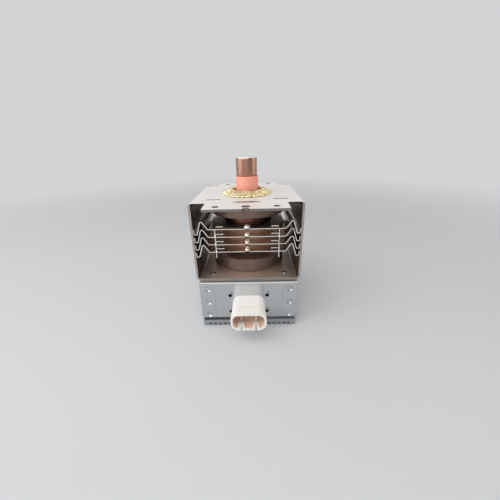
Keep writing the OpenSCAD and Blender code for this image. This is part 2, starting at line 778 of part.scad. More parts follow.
// End hats: the upper one carries the centre lead, the lower one stands on the side lead
module upper_end_hat() {
    color("lightslategray") translate([0, 0, hat_z + hat_gap])
        tube(upper_hat_d / 2, lead_d / 2 + fit, hat_t);
}
module lower_end_hat() {
    color("lightslategray") translate([0, 0, hat_z - hat_t])
        tube(lower_hat_d / 2, lead_d / 2 + 5 * slip, hat_t);
}

// Heater leads: molybdenum rods brazed into the input ceramic
module centre_lead() {
    color("slategray") translate([0, 0, tag_z])
        cylinder(d = lead_d, h = hat_z + hat_gap + hat_t - tag_z);
}
module side_lead() {
    color("slategray") translate([-lead_pitch, 0, tag_z])
        cylinder(d = lead_d, h = hat_z - hat_t - tag_z);
}

// Input ceramic with the bores of the two leads
module stem_ceramic() {
    color("seashell") translate([0, 0, stem_z]) difference() {
        cylinder(d = stem_d, h = stem_h);
        for (x = [0, -lead_pitch]) translate([x, 0, -1]) cylinder(d = lead_d + 2 * fit, h = stem_h + 2);
    }
}

// Terminal tags: strip under the ceramic, bent down beside the choke wire
module lead_tag(lead_x, from_x, to_x) {
    tail_x = to_x > 0 ? to_x - tag_t : from_x;
    color("silver") translate([0, -tag_w / 2, 0]) difference() {
        union() {
            translate([from_x, 0, tag_z]) cube([to_x - from_x, tag_w, tag_t]);
            translate([tail_x, 0, tag_bottom]) cube([tag_t, tag_w, stem_z - tag_bottom]);
        }
        translate([lead_x, tag_w / 2, tag_z - 1]) cylinder(d = lead_d + 2 * fit, h = tag_t + 2);
    }
}
module centre_tag() {
    lead_tag(0, -lead_pitch / 2 + slip * 3, tag_x);
}
module side_tag() {
    lead_tag(-lead_pitch, -tag_x, -lead_pitch / 2 - slip * 3);
}

// Centre line of the right half of a fin: flat, rising flank, upper fold, hook at the wall
function fin_half() =
    let (lip_x = yoke_inner - slip - fin_t / 2)
    let (peak = [yoke_inner - fold_inset, fold_rise])
    let (foot = [fin_foot_x, 0])
    let (centre = [lip_x - hook_r, hook_r - hook_drop])
    let (reach = peak - centre)
    let (a0 = atan2(reach[1], reach[0]) + acos(hook_r / norm(reach)))
    let (touch = centre + polar(hook_r, a0))
    concat(fillet([0, 0], foot, peak, fold_r, 4), fillet(foot, peak, touch, fold_r, 6),
        arc(centre, hook_r, a0, 360, 8), [[lip_x, hook_lip - hook_drop]]);
function fin_line() =
    let (half = fin_half())
    concat([for (i = [len(half) - 1:-1:0]) [-half[i][0], half[i][1]]], half);

// Collar drawn down from the sheet of a fin, with a rounded root
module fin_collar() {
    root = [collar_r, -fin_t / 2];
    foot = [collar_r, -collar_drop];
    rim = root + [2 * collar_root_r, 0];
    rotate_extrude() polygon(concat([[anode_r, 0], [anode_r, -collar_drop], foot],
        fillet(foot, root, rim, collar_root_r, 5), [rim, [rim[0], 0]]));
}

// Cooling fin: folded aluminium sheet with a drawn collar, spacer legs, notches and eyelets
module cooling_fin(i) {
    edge = fin_d / 2;
    window_y = edge - leg_edge - leg_w;
    color("lightgray") translate([0, 0, fin_top_z - (i - 1) * fin_pitch]) difference() {
        union() {
            along_y(fin_d) polygon(strip(fin_line(), fin_t));
            fin_collar();
            for (x = [0, 1], y = [0, 1]) mirror([x, 0, 0]) mirror([0, y, 0])
                translate([leg_x, window_y, -fin_t / 2 - leg_h]) cube([fin_t, leg_w, leg_h + fin_t]);
            for (y = [-1, 1]) translate([0, y * (edge - fin_eyelet_back), 0])
                cylinder(d = fin_eyelet_d, h = fin_t / 2 + fin_eyelet_h);
        }
        translate([0, 0, -collar_drop - 1]) cylinder(r = anode_r + fit, h = collar_drop + fin_t + 1);
        translate([0, 0, -fin_t]) {
            for (y = [-1, 1]) {
                translate([0, y * edge, 0]) cylinder(d = fin_notch_w, h = 2 * fin_t);
                translate([0, y * (edge - fin_eyelet_back), 0])
                    cylinder(d = fin_eyelet_hole_d, h = 2 * fin_t + fin_eyelet_h);
            }
            for (x = [0, 1], y = [0, 1]) mirror([x, 0, 0]) mirror([0, y, 0])
                translate([leg_x - leg_h, window_y, 0]) cube([leg_h, leg_w, 2 * fin_t]);
        }
    }
}

// Solid with rounded upper and upright edges, open box shape of the case
module case_solid(w, d, h, r) {
    intersection() {
        along_y(2 * d) translate([0, h]) mirror([0, 1]) rounded_foot(w, h, r);
        along_x(2 * w) translate([0, h]) mirror([0, 1]) rounded_foot(d, h, r);
        linear_extrude(h) rounded_rect(w, d, r);
    }
}

// Filter case: steel box open below, clinched at its seams and staked to the yoke
module filter_case() {
    wall_h = case_h - lid_t;
    color("silver") difference() {
        union() {
            translate([0, 0, lid_t]) difference() {
                case_solid(case_w, case_d, wall_h, case_edge_r);
                translate([0, 0, -case_t])
                    case_solid(case_w - 2 * case_t, case_d - 2 * case_t, wall_h, case_edge_r - case_t);
            }
            for (x = [-stake_x, stake_x], y = [-stake_y, stake_y]) translate([x, y, 0]) {
                translate([0, 0, case_h - case_t]) cylinder(d = stake_d, h = case_t + yoke_t);
                translate([0, 0, base_z]) bulge(stake_head_d, stake_head_h);
            }
            clinch_dents(case_front - case_t);
        }
        clinch_dents(case_front + 0.001);
        translate([0, 0, case_h - case_t - 1]) cylinder(r = tube_hole_r, h = case_t + 2);
        translate([0, -case_front + case_t + 1, con_z]) rotate([90, 0, 0]) {
            linear_extrude(case_t + 2)
                rounded_rect(con_root_w + 2 * slip, con_root_h + 2 * slip, con_corner_r);
            eyelet_places() cylinder(d = eyelet_d + 2 * eyelet_wall + 2 * fit, h = case_t + 2);
        }
    }
}

// Three flat-bottomed clinch dents at each end of the front and back walls, pressed inwards from y
module clinch_dents(y) {
    for (back = [0, 1], x = [-dent_x, dent_x], row = [-1:1]) mirror([0, back, 0])
        translate([x, -y, dent_z + row * dent_pitch]) rotate([-90, 0, 0])
            cylinder(d1 = dent_d, d2 = dent_floor_d, h = dent_depth);
}

// Lid: tray under the case with four hemmed flaps slit into spring fingers
module filter_lid() {
    color("silver") difference() {
        union() {
            along_x(lid_flap_w) flap_section(lid_reach_y);
            along_y(lid_side_w) flap_section(lid_reach_x);
        }
        finger_slots(lid_flap_w, lid_reach_y);
        rotate(90) finger_slots(lid_side_w, lid_reach_x);
    }
}

// Section through two opposite flaps, each hemmed outwards at its top
module flap_section(reach) {
    bend_r = lid_t + lid_gap;
    difference() {
        rounded_foot(2 * reach, lid_flap_h, bend_r);
        translate([0, lid_t]) rounded_foot(2 * reach - 2 * lid_t, lid_flap_h, bend_r - lid_t);
    }
    for (x = [-reach - lid_t, reach - lid_t / 2])
        translate([x, lid_flap_h - hem_h]) square([lid_t * 1.5, hem_h]);
}

// Rows of slots at the foot of two opposite flaps
module finger_slots(w, reach) {
    count = floor((w - finger_pitch) / finger_pitch);
    for (y = [-reach, reach], i = [0:count - 1])
        translate([(i - (count - 1) / 2) * finger_pitch - finger_slot_w / 2, y - 2 * lid_t, lid_t * 1.5])
            cube([finger_slot_w, 4 * lid_t, finger_slot_h]);
}

// Frame of the connector: outward along Z, upright along Y, from the front face of the case
module at_connector() {
    translate([0, -case_front, con_z]) rotate([90, 0, 0]) children();
}
module eyelet_places() {
    for (x = [-eyelet_x, eyelet_x], y = [-eyelet_z, eyelet_z]) translate([x, y, 0]) children();
}

// Connector: moulded socket with a flared mouth, a rim behind the wall and a tail
module connector_housing() {
    flare_z = con_flare_z;
    flare_l = con_flare_l;
    root_r = con_corner_r - con_flare;
    color("ivory") at_connector() difference() {
        union() {
            translate([0, 0, -tail_end]) linear_extrude(tail_end + flare_z)
                rounded_rect(con_root_w, con_root_h, root_r);
            hull() {
                translate([0, 0, flare_z - 0.1]) linear_extrude(0.1)
                    rounded_rect(con_root_w, con_root_h, root_r, $fn = 32);
                translate([0, 0, flare_z + flare_l]) linear_extrude(0.1)
                    rounded_rect(con_w, con_h, con_corner_r, $fn = 32);
            }
            translate([0, 0, flare_z + flare_l]) linear_extrude(con_reach - flare_z - flare_l)
                rounded_rect(con_w, con_h, con_corner_r);
            translate([0, 0, -carrier_back - con_rim_t]) linear_extrude(con_rim_t)
                rounded_rect(con_root_w + 2 * con_rim, con_root_h + 2 * con_rim, root_r + con_rim);
        }
        difference() {
            translate([0, 0, con_floor]) linear_extrude(con_reach)
                rounded_rect(con_root_w - 2 * con_wall, con_root_h - 2 * con_wall, root_r - con_wall);
            socket_pads();
        }
        pad_slots();
        translate([0, 0, -tail_end - 1]) linear_extrude(tail_end - element_front + 1)
            rounded_rect(con_root_w - 2 * con_wall, con_root_h - 2 * con_wall, root_r - con_wall);
        blade_slots();
    }
}

// Raised pads on the floor of the socket under the blades
module socket_pads() {
    floor_y = -con_root_h / 2 + con_wall;
    for (x = [-blade_x, blade_x]) translate([x - pad_w / 2, floor_y - 1, con_reach - pad_l])
        cube([pad_w, pad_h + 1, pad_l + 1]);
}
module pad_slots() {
    for (x = [-blade_x, blade_x])
        translate([x - pad_slot_w / 2, -con_h / 2 - 1, con_reach - pad_slot_l])
            cube([pad_slot_w, con_wall + con_flare + pad_h + 2, pad_slot_l + 1]);
}
module blade_slots() {
    for (x = [-blade_x, blade_x]) translate([x - blade_t / 2, -blade_h / 2, -tail_end - 1])
        cube([blade_t, blade_h, tail_end + con_floor + 2]);
}

// Feed-through capacitor: ceramic block in the tail, with a slot for each blade
module capacitor_element() {
    gap = con_wall + slip;
    color("tan") at_connector() difference() {
        translate([0, 0, -tail_end]) linear_extrude(tail_end - element_front) rounded_rect(
            con_root_w - 2 * gap, con_root_h - 2 * gap, con_corner_r - con_flare - gap);
        blade_slots();
    }
}

// Carrier plate behind the wall, held by four eyelets rolled over outside
module carrier_plate() {
    eyelet_r = eyelet_d / 2 + eyelet_wall;
    color("silver") at_connector() difference() {
        union() {
            translate([0, 0, -carrier_back]) linear_extrude(carrier_t)
                rounded_rect(2 * (eyelet_x + carrier_edge), 2 * (eyelet_z + carrier_edge), carrier_edge);
            eyelet_places() {
                translate([0, 0, -case_t]) cylinder(r = eyelet_r, h = case_t);
                cylinder(r = eyelet_r + eyelet_rim, h = eyelet_rim_h);
            }
        }
        translate([0, 0, -carrier_back - 1]) {
            linear_extrude(carrier_t + 2)
                rounded_rect(con_root_w + 2 * slip, con_root_h + 2 * slip, con_corner_r);
            eyelet_places() cylinder(d = eyelet_d, h = carrier_back + eyelet_rim_h + 2);
        }
    }
}

// Terminal blade: flat tab with a tapered tip, right through the capacitor
module terminal_blade(side) {
    tip = con_reach - blade_recess;
    taper = blade_h * 0.16;
    half = blade_h / 2;
    color("gainsboro") at_connector() translate([side * blade_x, 0, 0]) rotate([0, -90, 0])
        linear_extrude(blade_t, center = true) polygon([
            [-tail_end - blade_tail, -half], [tip - taper, -half], [tip, -half + taper],
            [tip, half - taper], [tip - taper, half], [-tail_end - blade_tail, half]]);
}

// Choke coil on the right: from the blade over the core to the tag under the ceramic
module choke_coil() {
    steps = 12;
    count = steps * choke_turns + steps / 2;
    r = choke_d / 2;
    turns = [for (i = [0:count])
        let (a = 90 - 360 * i / steps)
        [coil_x + r * cos(a), coil_y0 + (coil_y1 - coil_y0) * i / count, coil_z + r * sin(a)]];
    blade_end = [blade_x + blade_t / 2, coil_y0, coil_z + r];
    tag_end = [tag_x, coil_y1, coil_z - r];
    color("chocolate") wire(concat([blade_end], turns, [tag_end]), choke_wire_d / 2, [0, 1, 0]);
}

// Ferrite rod in the right choke coil
module choke_core() {
    core_l = coil_y1 - coil_y0 + 2 * core_over;
    color("darkslategray") translate([coil_x, coil_y0 - core_over, coil_z]) rotate([-90, 0, 0])
        cylinder(d = choke_d - choke_wire_d - 2 * slip, h = core_l);
}

antenna_cap();
exhaust_tube();
output_ceramic();
antenna_lead();
output_seal();
rf_gasket();
yoke_plate();
yoke_frame();
upper_magnet();
lower_magnet();
anode_cylinder();
upper_pole_piece();
lower_pole_piece();
upper_inner_strap();
upper_outer_strap();
lower_inner_strap();
lower_outer_strap();
for (i = [1:vane_count]) anode_vane(i);
filament();
upper_end_hat();
lower_end_hat();
centre_lead();
side_lead();
input_seal();
stem_ceramic();
centre_tag();
side_tag();
for (i = [1:fin_count]) cooling_fin(i);
filter_case();
filter_lid();
connector_housing();
capacitor_element();
carrier_plate();
terminal_blade(-1);  // terminal_blade_1
terminal_blade(1);  // terminal_blade_2
mirror([1, 0, 0]) choke_coil();  // choke_coil_1
choke_coil();  // choke_coil_2
mirror([1, 0, 0]) choke_core();  // choke_core_1
choke_core();  // choke_core_2
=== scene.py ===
import math

import bmesh
import bpy
import numpy as np
from mathutils import Matrix, Vector


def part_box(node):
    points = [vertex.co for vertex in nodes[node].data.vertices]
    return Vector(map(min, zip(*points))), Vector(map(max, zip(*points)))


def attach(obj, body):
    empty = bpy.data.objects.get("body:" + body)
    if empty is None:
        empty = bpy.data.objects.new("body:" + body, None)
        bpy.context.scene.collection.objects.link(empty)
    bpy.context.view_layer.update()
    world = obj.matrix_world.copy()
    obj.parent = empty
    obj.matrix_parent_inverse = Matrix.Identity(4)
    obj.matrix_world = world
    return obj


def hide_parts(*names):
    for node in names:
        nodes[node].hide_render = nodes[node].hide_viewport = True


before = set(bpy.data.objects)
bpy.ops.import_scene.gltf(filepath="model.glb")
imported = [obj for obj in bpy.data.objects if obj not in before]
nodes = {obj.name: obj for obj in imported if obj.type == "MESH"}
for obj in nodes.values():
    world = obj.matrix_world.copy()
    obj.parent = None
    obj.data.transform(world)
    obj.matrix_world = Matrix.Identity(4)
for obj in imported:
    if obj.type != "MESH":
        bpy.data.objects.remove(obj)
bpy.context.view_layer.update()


# Filter box: a case and a lid folded from bright tin-plated steel sheet. The case is clinched at its
# corner seams and staked to the yoke, and the lid is pushed over its open foot.
class Value:
    """One socket of a material's node tree. Arithmetic on values adds Math nodes to the tree."""

    def __init__(self, tree, socket=None):
        self.tree = tree
        self.socket = socket

    def node(self, kind, settings=(), output=0, **inputs):
        """Adds one node: its settings first, then values or links of its sockets, by label or as _number."""
        made = self.tree.nodes.new("ShaderNode" + kind)
        for name, setting in dict(settings).items():
            setattr(made, name, setting)
        for name, given in inputs.items():
            key = int(name[1:]) if name[0] == "_" else name.replace("_", " ")
            socket = made.inputs[key]
            if isinstance(given, Value):
                self.tree.links.new(given.socket, socket)
            else:
                socket.default_value = given
        return Value(self.tree, made.outputs[output])

    def maths(self, operation, first, second=0.0):
        """Adds one Math node."""
        return self.node("Math", {"operation": operation}, _0=first, _1=second)

    def __add__(self, other):
        return self.maths("ADD", self, other)

    def __radd__(self, other):
        return self.maths("ADD", other, self)

    def __sub__(self, other):
        return self.maths("SUBTRACT", self, other)

    def __rsub__(self, other):
        return self.maths("SUBTRACT", other, self)

    def __mul__(self, other):
        return self.maths("MULTIPLY", self, other)

    def __rmul__(self, other):
        return self.maths("MULTIPLY", other, self)

    def __abs__(self):
        return self.maths("ABSOLUTE", self)

    def ease(self, start, end):
        """0 at the start, 1 at the end and a smooth step between them. The end may be the lower one."""
        step = {"interpolation_type": "SMOOTHSTEP"}
        return self.node("MapRange", step, Value=self, From_Min=start, From_Max=end)

    def blend(self, first, second):
        """Colour from the first to the second, colours or colour sockets, as this value goes from 0 to 1."""
        return self.node("Mix", {"data_type": "RGBA"}, output=2, _0=self, _6=first, _7=second)


def rgb(red, green, blue):
    """Opaque colour."""
    return (red, green, blue, 1.0)


class Finish:
    """A material under construction: its Principled shader and its place on the piece in millimetres."""

    def __init__(self, name, **fixed):
        self.material = bpy.data.materials.new(name)
        self.material.use_nodes = True
        tree = self.material.node_tree
        self.shader = tree.nodes["Principled BSDF"]
        for socket, given in fixed.items():
            self.shader.inputs[socket.replace("_", " ")].default_value = given
        self.paint = Value(tree)
        place = self.paint.node("TexCoord", output="Object")
        self.place = self.paint.node("VectorMath", {"operation": "SCALE"}, _0=place, Scale=1000.0)
        self.x, self.y, self.z = (self.along(axis, self.place) for axis in "XYZ")

    def along(self, axis, vector):
        """A vector's number along the axis X, Y or Z."""
        return self.paint.node("SeparateXYZ", output=axis, Vector=vector)

    def length(self, vector):
        """A vector's length."""
        return self.paint.node("VectorMath", {"operation": "LENGTH"}, output="Value", _0=vector)

    def noise(self, size, detail=3.0, stretch=(1.0, 1.0, 1.0)):
        """Cloudy pattern from 0 to 1 whose patches are about size millimetres wide, times stretch."""
        scaled = self.paint.node("VectorMath", {"operation": "DIVIDE"}, _0=self.place, _1=stretch)
        return self.paint.node("TexNoise", Vector=scaled, Scale=1.0 / size, Detail=detail)

    def feed(self, socket, value):
        """Links a value to a socket of the shader."""
        self.material.node_tree.links.new(value.socket, self.shader.inputs[socket])

    def bump(self, height, depth):
        """Relief of the given depth in millimetres where height goes from 0 to 1."""
        self.feed("Normal", self.paint.node("Bump", Height=height, Distance=depth / 1000.0))

    def put_on(self, *pieces):
        """Makes this the only material of the pieces."""
        for piece in pieces:
            piece.data.materials.clear()
            piece.data.materials.append(self.material)


def corners(name):
    """Low and high corners of a node's box in millimetres."""
    return [[1000.0 * edge for edge in corner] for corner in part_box(name)]


case_front = corners("filter_case")[1][1]
case_roof = corners("yoke_frame")[0][2]
case_roof_bend = case_roof - 1.6
side_flange_edge = 26.0


def tinplate(name, light, shade, flange_x=None):
    """Bright rolled tin: hazy smears, fine rolling lines and, on the case, inner flanges pressed through,
    with painted shade along their edges and over the top bend.
    """
    tin = Finish(name, Metallic=1.0)
    smear = tin.noise(16.0, 4.0, (1.0, 1.0, 2.5))
    lines = tin.noise(0.7, 2.0, (1.0, 1.0, 60.0))
    speck = tin.noise(1.1, 2.0).ease(0.68, 0.78)
    skin = (smear * 0.7 + speck * 0.5).blend(rgb(*light), rgb(*shade))
    rough = 0.06 + smear.ease(0.4, 0.75) * 0.09 + lines * 0.04 + speck * 0.12
    relief = lines * 0.12 + smear * 0.5
    if flange_x:
        front = abs(tin.y).ease(case_front - 0.3, case_front - 0.1)
        flange = abs(tin.x).ease(flange_x - 0.5, flange_x + 0.5) * front
        # A dark line along each flange's edge is painted shade.
        flange_edge_painted_shade = abs(abs(tin.x) - flange_x).ease(0.45, 0.1) * front
        # The top bend is painted darker, painted shade that dims its highlight, and is also made rougher.
        dull_bend_painted_shade = tin.z.ease(case_roof_bend, case_roof_bend + 0.7)
        skin = (flange_edge_painted_shade * 0.5).blend(skin, rgb(0.38, 0.38, 0.38))
        skin = (dull_bend_painted_shade * 0.6).blend(skin, rgb(0.32, 0.32, 0.32))
        rough = rough + dull_bend_painted_shade * 0.22
        relief = relief + flange * 0.9
    tin.feed("Base Color", skin)
    tin.feed("Roughness", rough)
    tin.bump(relief, 0.05)
    return tin


tinplate("case_tinplate", (0.62, 0.64, 0.66), (0.51, 0.52, 0.53), side_flange_edge).put_on(
    nodes["filter_case"])
tinplate("lid_tinplate", (0.48, 0.49, 0.50), (0.40, 0.41, 0.42)).put_on(nodes["filter_lid"])


# Carrier plate, terminal blades and the two terminal tags: tinned metal strip, stamped. The carrier's
# eyelets are rolled over the outside of the case wall, and the blades are pressed through the capacitor.
tinplate("carrier_tinplate", (0.62, 0.63, 0.64), (0.50, 0.51, 0.52)).put_on(nodes["carrier_plate"])

tinned = Finish("tinned_strip", Metallic=1.0)
tin_cloud = tinned.noise(2.5, 3.0)
tin_drag = tinned.noise(0.35, 2.0, (1.0, 30.0, 1.0))
tinned.feed("Base Color", tin_cloud.blend(rgb(0.83, 0.80, 0.75), rgb(0.70, 0.66, 0.61)))
tinned.feed("Roughness", 0.20 + tin_cloud * 0.18)
tinned.bump(tin_drag, 0.02)
tinned.put_on(*(nodes[name] for name in (
    "terminal_blade_1", "terminal_blade_2", "centre_tag", "side_tag")))


# Connector: one injection moulding in warm white plastic, with a socket outside the case and a tail
# that holds the capacitor inside it. The surface is satin with faint flow marks. The inside of the socket
# is painted warm tan, lighter towards its floor, as a painted glow of light in the socket.
ivory = Finish("socket_plastic", IOR=1.48, Subsurface_Weight=0.06, Subsurface_Scale=0.002)
ivory.shader.inputs["Subsurface Radius"].default_value = (1.0, 0.8, 0.55)
flow = ivory.noise(9.0, 3.0, (1.0, 3.0, 1.0))
pores = ivory.noise(0.3, 2.0)

connector_low, connector_high = corners("connector_housing")
mouth_y = connector_low[1]
lip_y = mouth_y + 1.6
socket_floor_y = mouth_y + 13.6
socket_z = (connector_low[2] + connector_high[2]) / 2
socket_half_w, socket_half_h = 11.7, 6.3
# The hollow is a rectangle with round corners, where the fourth powers of the two ways out add up to 1.
wide = ivory.x * (1.0 / socket_half_w)
tall = (ivory.z - socket_z) * (1.0 / socket_half_h)
hollow = wide * wide * (wide * wide) + tall * tall * (tall * tall)
# Two pads under the blades keep the outer colour.
blade_low, blade_high = corners("terminal_blade_1")
pad_x = abs(blade_low[0] + blade_high[0]) / 2
pad_half_w, pad_end_y, pad_top_z = 2.35, mouth_y + 6.05, 17.1
pads = abs(abs(ivory.x) - pad_x).ease(pad_half_w + 0.1, pad_half_w - 0.1)
pads = pads * ivory.y.ease(pad_end_y + 0.15, pad_end_y - 0.15)
pads = pads * ivory.z.ease(pad_top_z + 0.1, pad_top_z - 0.1)
# The inside of the socket is painted warm tan, lighter deeper in: painted light, not the plastic's colour.
socket_painted_glow_area = hollow.ease(1.05, 0.98) * ivory.y.ease(mouth_y + 0.1, lip_y) * (1.0 - pads)
socket_painted_glow = ivory.y.ease(lip_y, socket_floor_y).blend(rgb(1.0, 0.71, 0.56), rgb(1.0, 0.85, 0.71))
ivory_skin = flow.blend(rgb(0.97, 0.94, 0.89), rgb(0.94, 0.90, 0.84))
ivory.feed("Base Color", socket_painted_glow_area.blend(ivory_skin, socket_painted_glow))
ivory.feed("Roughness", 0.34 + flow * 0.14)
ivory.bump(pores * 0.5 + flow * 0.5, 0.03)
ivory.put_on(nodes["connector_housing"])


# Filter parts inside the case: two chokes of enamelled wire on ferrite rods, and the ceramic block of
# the feed-through capacitor. The lid hides them on the finished part.
enamel = Finish("choke_enamel", Coat_Weight=0.6, Coat_Roughness=0.12, Metallic=0.6)
enamel_cloud = enamel.noise(3.0)
enamel.feed("Base Color", enamel_cloud.blend(rgb(0.50, 0.20, 0.09), rgb(0.38, 0.14, 0.06)))
enamel.feed("Roughness", 0.25 + enamel_cloud * 0.15)
enamel.put_on(nodes["choke_coil_1"], nodes["choke_coil_2"])

alumina = Finish("white_alumina")
grain = alumina.noise(0.5, 4.0)
alumina.feed("Base Color", grain.blend(rgb(0.90, 0.88, 0.84), rgb(0.82, 0.79, 0.74)))
alumina.feed("Roughness", 0.55 + grain * 0.2)
alumina.bump(grain, 0.02)
alumina.put_on(nodes["stem_ceramic"], nodes["capacitor_element"])


# Yoke frame: steel sheet folded to a U round the magnets, with dimples pressed into its walls, and zinc
# plated. The walls are painted dark inside as shade, and the base is painted warm and light in the middle
# as painted light and grey towards the walls as painted shade.
class Zinc(Finish):
    """Satin zinc on steel: broad clouds, a fine crystal speckle and brushing."""

    def __init__(self, name, light, shade):
        super().__init__(name)
        self.cloud = self.noise(14.0, 4.0)
        self.brush = self.noise(0.5, 2.0, (1.0, 40.0, 1.0))
        speckle = self.paint.node("TexVoronoi", Vector=self.place, Scale=0.9)
        self.skin = (self.cloud * 0.7 + speckle * 0.3).blend(rgb(*light), rgb(*shade))

    def facing(self, axis):
        """How squarely the surface looks along an axis, either way."""
        return abs(self.along(axis, self.paint.node("NewGeometry", output="True Normal")))

    def coat(self, colour, shine, rough, cut):
        """Feeds the shader: a colour, a metallic shine, and a roughness that clouds and cut edges add to."""
        self.feed("Base Color", colour)
        self.feed("Metallic", shine)
        self.feed("Roughness", rough + self.cloud.ease(0.35, 0.7) * 0.10 + self.brush * 0.08 + cut * 0.08)
        self.bump(self.brush * 0.7 + self.cloud * 0.3, 0.03)


yoke_zinc = Zinc("yoke_zinc", (0.72, 0.67, 0.62), (0.64, 0.59, 0.54))
yoke_low, yoke_high = corners("yoke_frame")
yoke_foot, yoke_side = yoke_low[2], yoke_high[0]
above_foot = yoke_zinc.z.ease(yoke_foot + 0.4, yoke_foot + 0.8)
# The insides of the walls are painted dark: painted shade.
shaded_wall_inside = abs(yoke_zinc.x).ease(yoke_side - 0.8, yoke_side - 1.2) * above_foot
wall_painted_shade = yoke_zinc.cloud.blend(rgb(0.27, 0.245, 0.225), rgb(0.18, 0.16, 0.15))
base = yoke_zinc.z.ease(yoke_foot + 2.0, yoke_foot + 1.6) * above_foot
# The base is painted light and warm in the middle as painted light, and grey towards the walls as painted
# shade.
base_painted_light_x, base_painted_shade_x = 20.0, 36.0
base_painted_shade = abs(yoke_zinc.x).ease(base_painted_light_x, base_painted_shade_x) * 0.7
base_painted_light_and_shade = yoke_zinc.cloud.blend(rgb(0.76, 0.59, 0.48), rgb(0.60, 0.465, 0.38))
base_painted_light_and_shade = base_painted_shade.blend(base_painted_light_and_shade, rgb(0.26, 0.22, 0.19))
yoke_skin = base.blend(shaded_wall_inside.blend(yoke_zinc.skin, wall_painted_shade), base_painted_light_and_shade)
# Cut edges, which look to the front and back, are bare steel.
yoke_cut = yoke_zinc.facing("Y").ease(0.8, 0.95)
yoke_skin = yoke_cut.blend(yoke_skin, rgb(0.44, 0.39, 0.35))
yoke_shine = 0.95 + yoke_cut * 0.05 - base * 0.3
yoke_zinc.coat(colour=yoke_skin, shine=yoke_shine, rough=0.30, cut=yoke_cut)
yoke_zinc.put_on(nodes["yoke_frame"])


# Ring magnets and choke rods: pressed and fired ferrite, dark brown grey with a satin ground face and
# small pits. The magnets are clamped between the anode's flanges and the yoke.
ferrite = Finish("ferrite", Metallic=0.65)
fired = ferrite.noise(5.0, 5.0)
pits = ferrite.noise(0.6, 3.0).ease(0.62, 0.74)
ferrite.feed("Base Color", (fired * 0.8 + pits * 0.4).blend(rgb(0.29, 0.20, 0.165), rgb(0.15, 0.105, 0.088)))
ferrite.feed("Roughness", 0.42 + fired * 0.12 + pits * 0.2)
ferrite.bump(fired * 0.5 - pits, 0.04)
ferrite.put_on(*(nodes[name] for name in ("upper_magnet", "lower_magnet", "choke_core_1", "choke_core_2")))


# Tube: a copper anode cylinder with brazed vanes and straps, steel pole pieces and seals at its ends
# and a tungsten cathode on the axis. Only the cylinder shows, between the fins, and its copper is painted
# nearly black as painted shade.
def copper(name, light, shade):
    """Drawn copper with a cloudy brown tarnish."""
    metal = Finish(name, Metallic=1.0)
    tarnish = metal.noise(6.0, 4.0)
    drawn = metal.noise(0.4, 2.0, (1.0, 1.0, 40.0))
    metal.feed("Base Color", tarnish.blend(rgb(*light), rgb(*shade)))
    metal.feed("Roughness", 0.26 + tarnish * 0.2)
    metal.bump(drawn, 0.02)
    return metal


vanes = [name for name in nodes if name.startswith("anode_vane")]
straps = [name for name in nodes if name.endswith("_strap")]
# The anode's copper is painted nearly black: painted shade between the fins.
copper("anode_copper", (0.22, 0.095, 0.068), (0.13, 0.058, 0.044)).put_on(nodes["anode_cylinder"])
copper("bright_copper", (0.80, 0.46, 0.32), (0.62, 0.31, 0.20)).put_on(
    *(nodes[name] for name in vanes + straps + ["exhaust_tube", "antenna_lead"]))

seal_steel = Finish("seal_steel", Metallic=1.0)
seal_cloud = seal_steel.noise(4.0, 3.0)
seal_steel.feed("Base Color", seal_cloud.blend(rgb(0.60, 0.58, 0.56), rgb(0.46, 0.44, 0.42)))
seal_steel.feed("Roughness", 0.28 + seal_cloud * 0.2)
seal_steel.put_on(*(nodes[name] for name in (
    "output_seal", "input_seal", "upper_pole_piece", "lower_pole_piece")))

tungsten = Finish("dull_tungsten", Metallic=1.0)
tungsten_cloud = tungsten.noise(1.0, 3.0)
tungsten.feed("Base Color", tungsten_cloud.blend(rgb(0.36, 0.36, 0.38), rgb(0.25, 0.25, 0.27)))
tungsten.feed("Roughness", 0.45 + tungsten_cloud * 0.15)
tungsten.put_on(*(nodes[name] for name in (
    "filament", "upper_end_hat", "lower_end_hat", "centre_lead", "side_lead")))


# Cooling fins: soft aluminium sheet, stamped and folded, pressed on the anode by drawn collars. The
# faces keep the lines of the rolling mill and a little grey soil from the air stream. Near the anode they
# are painted warm, a painted reflection of the copper, and made duller, apart from the open top of the
# uppermost fin.
aluminium = Finish("fin_aluminium")
mill = aluminium.noise(0.45, 2.0, (1.0, 50.0, 1.0))
soil = aluminium.noise(7.0, 5.0)
level_part = (1.0, 1.0, 0.0)
outward = aluminium.paint.node("VectorMath", {"operation": "MULTIPLY"}, _0=aluminium.place, _1=level_part)
warm_from, warm_full = 36.0, 24.0
open_top_z = 79.9
# The warm colour near the anode is a painted reflection. The lower metallic and higher roughness there are
# the shader's own.
painted_warm_reflection = aluminium.length(outward).ease(warm_from, warm_full) * aluminium.z.ease(open_top_z, open_top_z - 0.3)
sheet_tone = soil.ease(0.45, 0.8).blend(rgb(0.88, 0.83, 0.78), rgb(0.72, 0.65, 0.58))
aluminium.feed("Base Color", painted_warm_reflection.blend(sheet_tone, rgb(1.0, 0.76, 0.60)))
aluminium.feed("Metallic", 1.0 - painted_warm_reflection * 0.6)
aluminium.feed("Roughness", 0.13 + mill * 0.08 + soil.ease(0.4, 0.8) * 0.12 + painted_warm_reflection * 0.20)
aluminium.bump(mill * 0.5 + soil * 0.5, 0.02)
aluminium.put_on(*(nodes[name] for name in nodes if name.startswith("cooling_fin")))


# Yoke plate: steel sheet stamped with a tongue at the front and back, zinc plated paler and more matte
# than the frame. It closes the magnetic path over the upper magnet and takes the waveguide's bolts.
plate_zinc = Zinc("plate_zinc", (0.91, 0.875, 0.845), (0.85, 0.805, 0.775))
